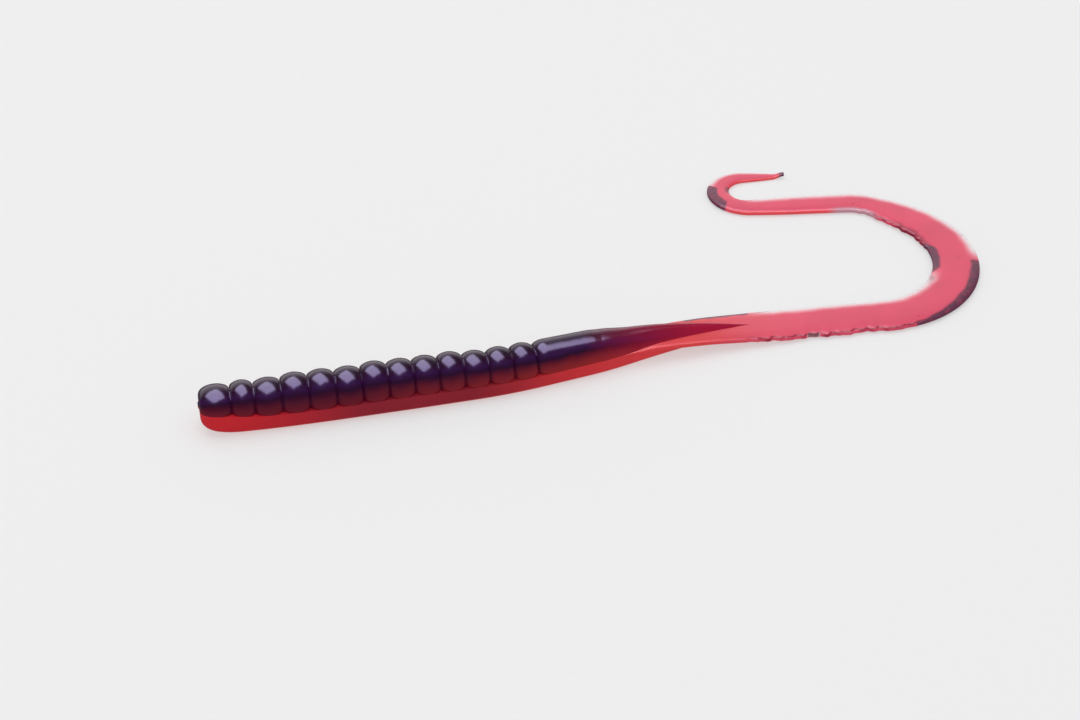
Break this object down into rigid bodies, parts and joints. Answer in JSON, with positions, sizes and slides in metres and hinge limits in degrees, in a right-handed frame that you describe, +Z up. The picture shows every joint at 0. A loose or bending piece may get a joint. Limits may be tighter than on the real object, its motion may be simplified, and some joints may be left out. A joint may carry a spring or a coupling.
{
  "type": "soft plastic worm",
  "caption": "Soft plastic fishing worm with a ribbed dark back, a clear red belly and a curled ribbon tail, jointed so that it bends and swims.",
  "frame": {"origin": "on the belly's flat underside, under the middle of the fourth rib", "axes": "+X along the body from the nose towards the tail, +Z up from the surface that the worm lies on, +Y towards the side that the ribbon curls to"},
  "size_m": [0.1195, 0.0483, 0.0071],
  "materials": {
    "grape_plastisol": "glossy dark grape soft plastic, the back's shot",
    "red_plastisol": "glossy translucent red soft plastic, the belly's shot",
    "pink_ribbon_plastisol": "the same red shot moulded thin, which lets light through and looks pink"
  },
  "bodies": {
    "rib_01": {"rib_01_back": "grape_plastisol", "rib_01_belly": "red_plastisol"},
    "rib_02": {"rib_02_back": "grape_plastisol", "rib_02_belly": "red_plastisol"},
    "rib_03": {"rib_03_back": "grape_plastisol", "rib_03_belly": "red_plastisol"},
    "rib_04": {"rib_04_back": "grape_plastisol", "rib_04_belly": "red_plastisol"},
    "rib_05": {"rib_05_back": "grape_plastisol", "rib_05_belly": "red_plastisol"},
    "rib_06": {"rib_06_back": "grape_plastisol", "rib_06_belly": "red_plastisol"},
    "rib_07": {"rib_07_back": "grape_plastisol", "rib_07_belly": "red_plastisol"},
    "rib_08": {"rib_08_back": "grape_plastisol", "rib_08_belly": "red_plastisol"},
    "rib_09": {"rib_09_back": "grape_plastisol", "rib_09_belly": "red_plastisol"},
    "rib_10": {"rib_10_back": "grape_plastisol", "rib_10_belly": "red_plastisol"},
    "rib_11": {"rib_11_back": "grape_plastisol", "rib_11_belly": "red_plastisol"},
    "rib_12": {"rib_12_back": "grape_plastisol", "rib_12_belly": "red_plastisol"},
    "rib_13": {"rib_13_back": "grape_plastisol", "rib_13_belly": "red_plastisol"},
    "shoulder_1": {"shoulder_1_back": "grape_plastisol", "shoulder_1_belly": "red_plastisol"},
    "shoulder_2": {"shoulder_2_back": "grape_plastisol", "shoulder_2_belly": "red_plastisol"},
    "root_1": {"root_1_ridge": "grape_plastisol", "root_1_keel": "red_plastisol"},
    "root_2": {"root_2_ridge": "grape_plastisol", "root_2_keel": "red_plastisol"},
    "ribbon_01": {"ribbon_01": "pink_ribbon_plastisol"},
    "ribbon_02": {"ribbon_02": "pink_ribbon_plastisol"},
    "ribbon_03": {"ribbon_03": "pink_ribbon_plastisol"},
    "ribbon_04": {"ribbon_04": "pink_ribbon_plastisol"},
    "ribbon_05": {"ribbon_05": "pink_ribbon_plastisol"},
    "ribbon_06": {"ribbon_06": "pink_ribbon_plastisol"},
    "ribbon_07": {"ribbon_07": "pink_ribbon_plastisol"},
    "ribbon_08": {"ribbon_08": "pink_ribbon_plastisol"},
    "ribbon_09": {"ribbon_09": "pink_ribbon_plastisol"},
    "ribbon_10": {"ribbon_10": "pink_ribbon_plastisol"},
    "ribbon_11": {"ribbon_11": "pink_ribbon_plastisol"},
    "ribbon_tip": {"ribbon_tip": "pink_ribbon_plastisol"}
  },
  "joints": [
    {"name": "rib_02_side", "type": "hinge", "parent": "rib_01", "child": "rib_02", "pos_m": [-0.0089, 0.00023, 0.00359], "axis": [0, 0, 1], "range_deg": [-15, 15], "stiffness_Nm_per_rad": 0.0057},
    {"name": "rib_03_lift", "type": "hinge", "parent": "rib_02", "child": "rib_03", "pos_m": [-0.00571, 0.00013, 0.00367], "axis": [-0.0288, -0.9996, 0], "range_deg": [-10, 20], "stiffness_Nm_per_rad": 0.0067},
    {"name": "rib_04_side", "type": "hinge", "parent": "rib_03", "child": "rib_04", "pos_m": [-0.00191, 0.00003, 0.00376], "axis": [0, 0, 1], "range_deg": [-15, 15], "stiffness_Nm_per_rad": 0.0068},
    {"name": "rib_05_lift", "type": "hinge", "parent": "rib_04", "child": "rib_05", "pos_m": [0.00186, -0.00003, 0.00378], "axis": [-0.0138, -0.9999, 0], "range_deg": [-10, 20], "stiffness_Nm_per_rad": 0.007},
    {"name": "rib_06_side", "type": "hinge", "parent": "rib_05", "child": "rib_06", "pos_m": [0.00558, -0.00007, 0.00378], "axis": [0, 0, -1], "range_deg": [-15, 15], "stiffness_Nm_per_rad": 0.0071},
    {"name": "rib_07_lift", "type": "hinge", "parent": "rib_06", "child": "rib_07", "pos_m": [0.00927, -0.00008, 0.00378], "axis": [0, 1, 0], "range_deg": [-20, 10], "stiffness_Nm_per_rad": 0.0072},
    {"name": "rib_08_side", "type": "hinge", "parent": "rib_07", "child": "rib_08", "pos_m": [0.01291, -0.00008, 0.00378], "axis": [0, 0, -1], "range_deg": [-15, 15], "stiffness_Nm_per_rad": 0.0073},
    {"name": "rib_09_lift", "type": "hinge", "parent": "rib_08", "child": "rib_09", "pos_m": [0.01652, -0.00008, 0.00378], "axis": [0, 1, 0], "range_deg": [-20, 10], "stiffness_Nm_per_rad": 0.0073},
    {"name": "rib_10_side", "type": "hinge", "parent": "rib_09", "child": "rib_10", "pos_m": [0.02009, -0.00008, 0.00371], "axis": [0, 0, 1], "range_deg": [-15, 15], "stiffness_Nm_per_rad": 0.0069},
    {"name": "rib_11_lift", "type": "hinge", "parent": "rib_10", "child": "rib_11", "pos_m": [0.02363, -0.00008, 0.00363], "axis": [0, -1, 0], "range_deg": [-10, 20], "stiffness_Nm_per_rad": 0.0064},
    {"name": "rib_12_side", "type": "hinge", "parent": "rib_11", "child": "rib_12", "pos_m": [0.02712, -0.00004, 0.00356], "axis": [0, 0, 1], "range_deg": [-15, 15], "stiffness_Nm_per_rad": 0.006},
    {"name": "rib_13_lift", "type": "hinge", "parent": "rib_12", "child": "rib_13", "pos_m": [0.03058, 0.00014, 0.00349], "axis": [0.0757, -0.9971, 0], "range_deg": [-10, 20], "stiffness_Nm_per_rad": 0.0056},
    {"name": "shoulder_1_side", "type": "hinge", "parent": "rib_13", "child": "shoulder_1", "pos_m": [0.03398, 0.00047, 0.00342], "axis": [0, 0, -1], "range_deg": [-15, 15], "stiffness_Nm_per_rad": 0.0033},
    {"name": "shoulder_2_lift", "type": "hinge", "parent": "shoulder_1", "child": "shoulder_2", "pos_m": [0.04112, 0.00141, 0.00328], "axis": [-0.1305, 0.9914, 0], "range_deg": [-20, 10], "stiffness_Nm_per_rad": 0.002},
    {"name": "root_1_side", "type": "hinge", "parent": "shoulder_2", "child": "root_1", "pos_m": [0.04856, 0.00239, 0.003], "axis": [0, 0, -1], "range_deg": [-15, 15], "stiffness_Nm_per_rad": 0.00079},
    {"name": "root_2_flap", "type": "hinge", "parent": "root_1", "child": "root_2", "pos_m": [0.0575, 0.00335, 0.00221], "axis": [0.0813, -0.9967, 0], "range_deg": [-20, 25], "stiffness_Nm_per_rad": 0.000095},
    {"name": "ribbon_01_flap", "type": "hinge", "parent": "root_2", "child": "ribbon_01", "pos_m": [0.06659, 0.00386, 0.00122], "axis": [0.0309, -0.9995, 0], "range_deg": [-20, 25], "stiffness_Nm_per_rad": 0.000021},
    {"name": "ribbon_02_curl", "type": "hinge", "parent": "ribbon_01", "child": "ribbon_02", "pos_m": [0.07509, 0.00389, 0.00062], "axis": [0, 0, 1], "range_deg": [-8, 8], "stiffness_Nm_per_rad": 0.00078},
    {"name": "ribbon_03_flap", "type": "hinge", "parent": "ribbon_02", "child": "ribbon_03", "pos_m": [0.08357, 0.00332, 0.00058], "axis": [0.0888, 0.996, 0], "range_deg": [-25, 20], "stiffness_Nm_per_rad": 0.000021},
    {"name": "ribbon_04_flap", "type": "hinge", "parent": "ribbon_03", "child": "ribbon_04", "pos_m": [0.09202, 0.00345, 0.00057], "axis": [-0.2511, 0.968, 0], "range_deg": [-25, 20], "stiffness_Nm_per_rad": 0.000021},
    {"name": "ribbon_05_curl", "type": "hinge", "parent": "ribbon_04", "child": "ribbon_05", "pos_m": [0.09915, 0.00783, 0.00057], "axis": [0, 0, 1], "range_deg": [-8, 8], "stiffness_Nm_per_rad": 0.00076},
    {"name": "ribbon_06_flap", "type": "hinge", "parent": "ribbon_05", "child": "ribbon_06", "pos_m": [0.10262, 0.01546, 0.00056], "axis": [0.9915, -0.1298, 0], "range_deg": [-20, 25], "stiffness_Nm_per_rad": 0.000019},
    {"name": "ribbon_07_flap", "type": "hinge", "parent": "ribbon_06", "child": "ribbon_07", "pos_m": [0.10123, 0.02372, 0.00056], "axis": [0.8946, 0.4468, 0], "range_deg": [-20, 25], "stiffness_Nm_per_rad": 0.000019},
    {"name": "ribbon_08_curl", "type": "hinge", "parent": "ribbon_07", "child": "ribbon_08", "pos_m": [0.09643, 0.03007, 0.00055], "axis": [0, 0, -1], "range_deg": [-8, 8], "stiffness_Nm_per_rad": 0.00038},
    {"name": "ribbon_09_flap", "type": "hinge", "parent": "ribbon_08", "child": "ribbon_09", "pos_m": [0.08936, 0.03336, 0.00054], "axis": [-0.1603, -0.9871, 0], "range_deg": [-25, 20], "stiffness_Nm_per_rad": 0.000012},
    {"name": "ribbon_10_flap", "type": "hinge", "parent": "ribbon_09", "child": "ribbon_10", "pos_m": [0.08146, 0.03457, 0.00052], "axis": [-0.1416, -0.9899, 0], "range_deg": [-25, 20], "stiffness_Nm_per_rad": 0.000011},
    {"name": "ribbon_11_curl", "type": "hinge", "parent": "ribbon_10", "child": "ribbon_11", "pos_m": [0.07511, 0.0358, 0.00051], "axis": [0, 0, -1], "range_deg": [-8, 8], "stiffness_Nm_per_rad": 0.000099},
    {"name": "ribbon_tip_flap", "type": "hinge", "parent": "ribbon_11", "child": "ribbon_tip", "pos_m": [0.07333, 0.04146, 0.00046], "axis": [0.9111, -0.4122, 0], "range_deg": [-20, 25], "stiffness_Nm_per_rad": 0.0000042}
  ]
}
